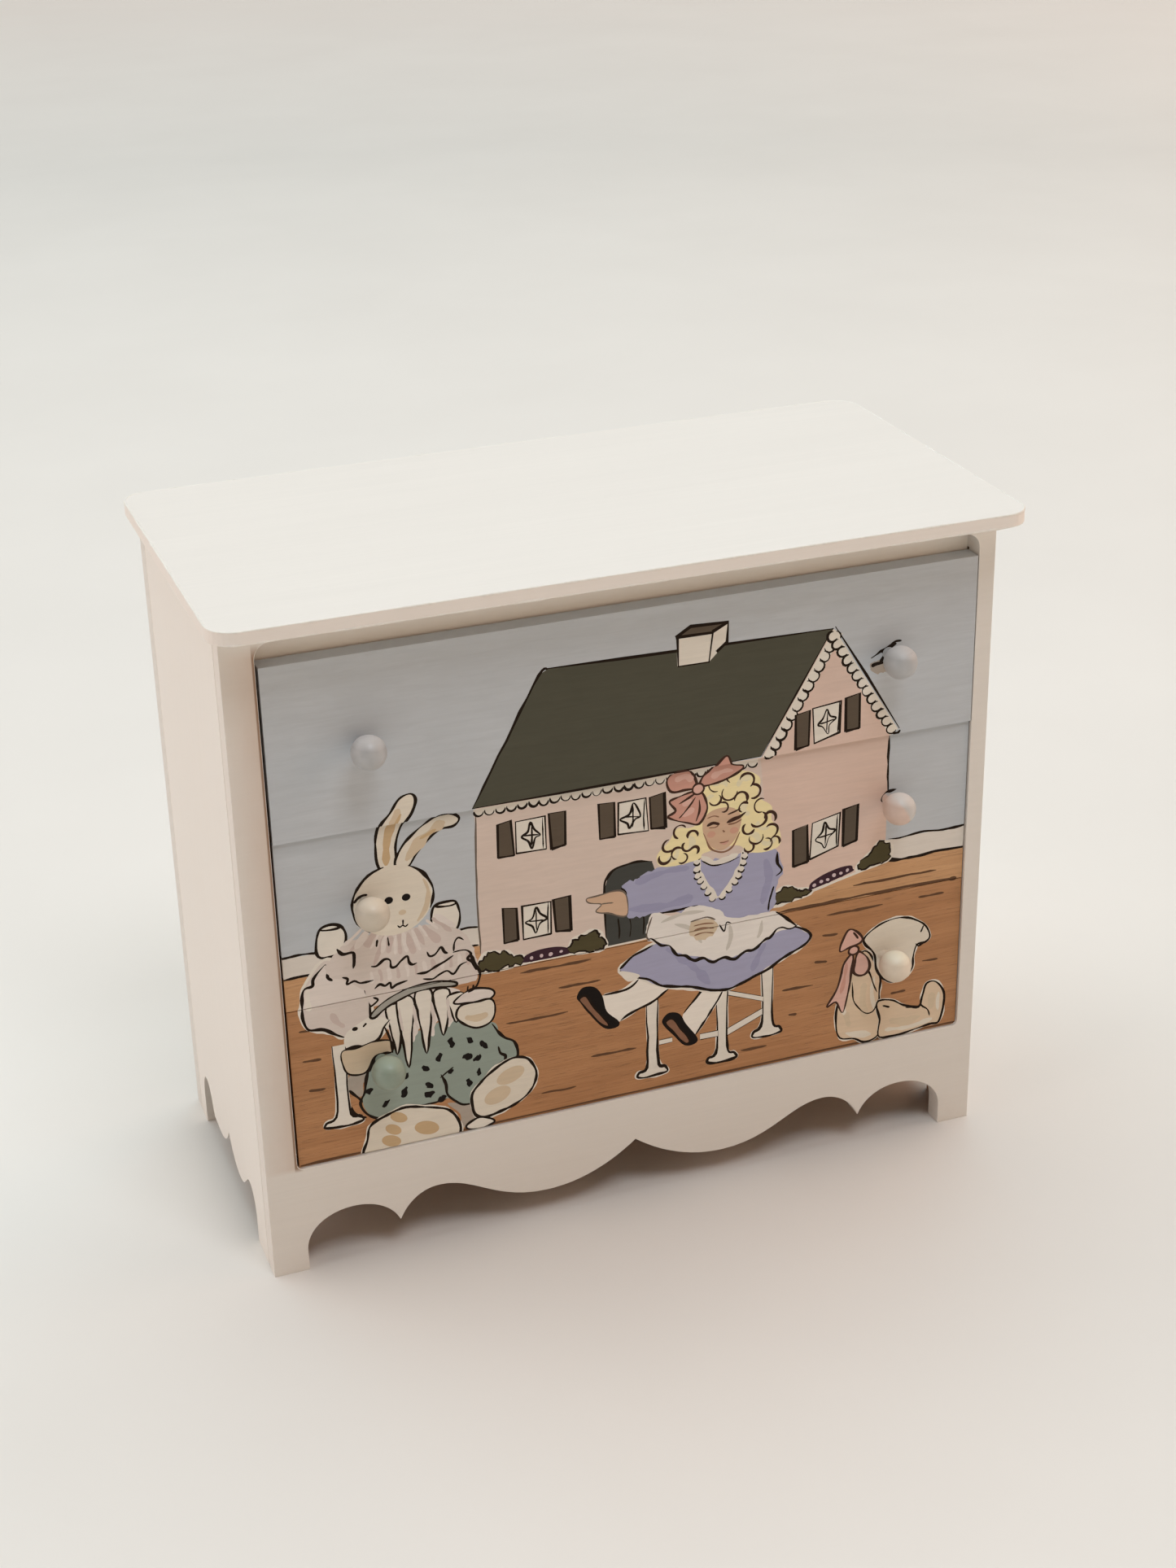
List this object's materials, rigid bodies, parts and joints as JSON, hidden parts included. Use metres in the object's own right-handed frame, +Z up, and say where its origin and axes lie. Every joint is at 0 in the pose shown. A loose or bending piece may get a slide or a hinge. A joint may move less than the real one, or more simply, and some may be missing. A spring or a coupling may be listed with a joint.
{
  "type": "miniature chest of drawers",
  "caption": "Dolls' house chest of drawers: white painted carcass with scalloped apron and feet, overhanging top, painted drawer fronts with ball knobs that slide out.",
  "frame": {"origin": "on the floor, under the middle of the top board", "axes": "+X to the right seen from the front, +Y to the back, +Z up; the drawers open along -Y"},
  "size_m": [0.0888, 0.0454, 0.0784],
  "materials": {
    "white_paint": "brushed warm white paint, satin",
    "bare_wood": "bare red-brown wood, sanded",
    "wall_paint": "matt blue-grey paint",
    "room_paint": "matt paint, several colours",
    "floor_wood": "clear finish on red-brown wood, the grain shows",
    "cream_paint": "satin paint",
    "pink_paint": "satin paint",
    "green_paint": "satin paint"
  },
  "bodies": {
    "carcass": {"top_board": "white_paint", "face_frame": "white_paint", "side_panel_left": "white_paint", "side_panel_right": "white_paint", "back_panel": "white_paint", "top_rail": "white_paint", "bottom_panel": "bare_wood", "dust_board_lower": "bare_wood", "dust_board_upper": "bare_wood"},
    "drawer_bottom": {"drawer_bottom_front": "floor_wood", "drawer_bottom_side_left": "bare_wood", "drawer_bottom_side_right": "bare_wood", "drawer_bottom_back": "bare_wood", "drawer_bottom_bottom": "bare_wood", "drawer_bottom_knob_left": "green_paint", "drawer_bottom_knob_right": "cream_paint"},
    "drawer_middle": {"drawer_middle_front": "room_paint", "drawer_middle_side_left": "bare_wood", "drawer_middle_side_right": "bare_wood", "drawer_middle_back": "bare_wood", "drawer_middle_bottom": "bare_wood", "drawer_middle_knob_left": "cream_paint", "drawer_middle_knob_right": "pink_paint"},
    "drawer_top": {"drawer_top_front": "wall_paint", "drawer_top_side_left": "bare_wood", "drawer_top_side_right": "bare_wood", "drawer_top_back": "bare_wood", "drawer_top_bottom": "bare_wood", "drawer_top_knob_left": "wall_paint", "drawer_top_knob_right": "wall_paint"}
  },
  "joints": [
    {"name": "drawer_bottom_slide", "type": "slide", "parent": "carcass", "child": "drawer_bottom", "axis": [0, -1, 0], "range_m": [0, 0.028]},
    {"name": "drawer_middle_slide", "type": "slide", "parent": "carcass", "child": "drawer_middle", "axis": [0, -1, 0], "range_m": [0, 0.028]},
    {"name": "drawer_top_slide", "type": "slide", "parent": "carcass", "child": "drawer_top", "axis": [0, -1, 0], "range_m": [-0.00035, 0.02765]}
  ]
}
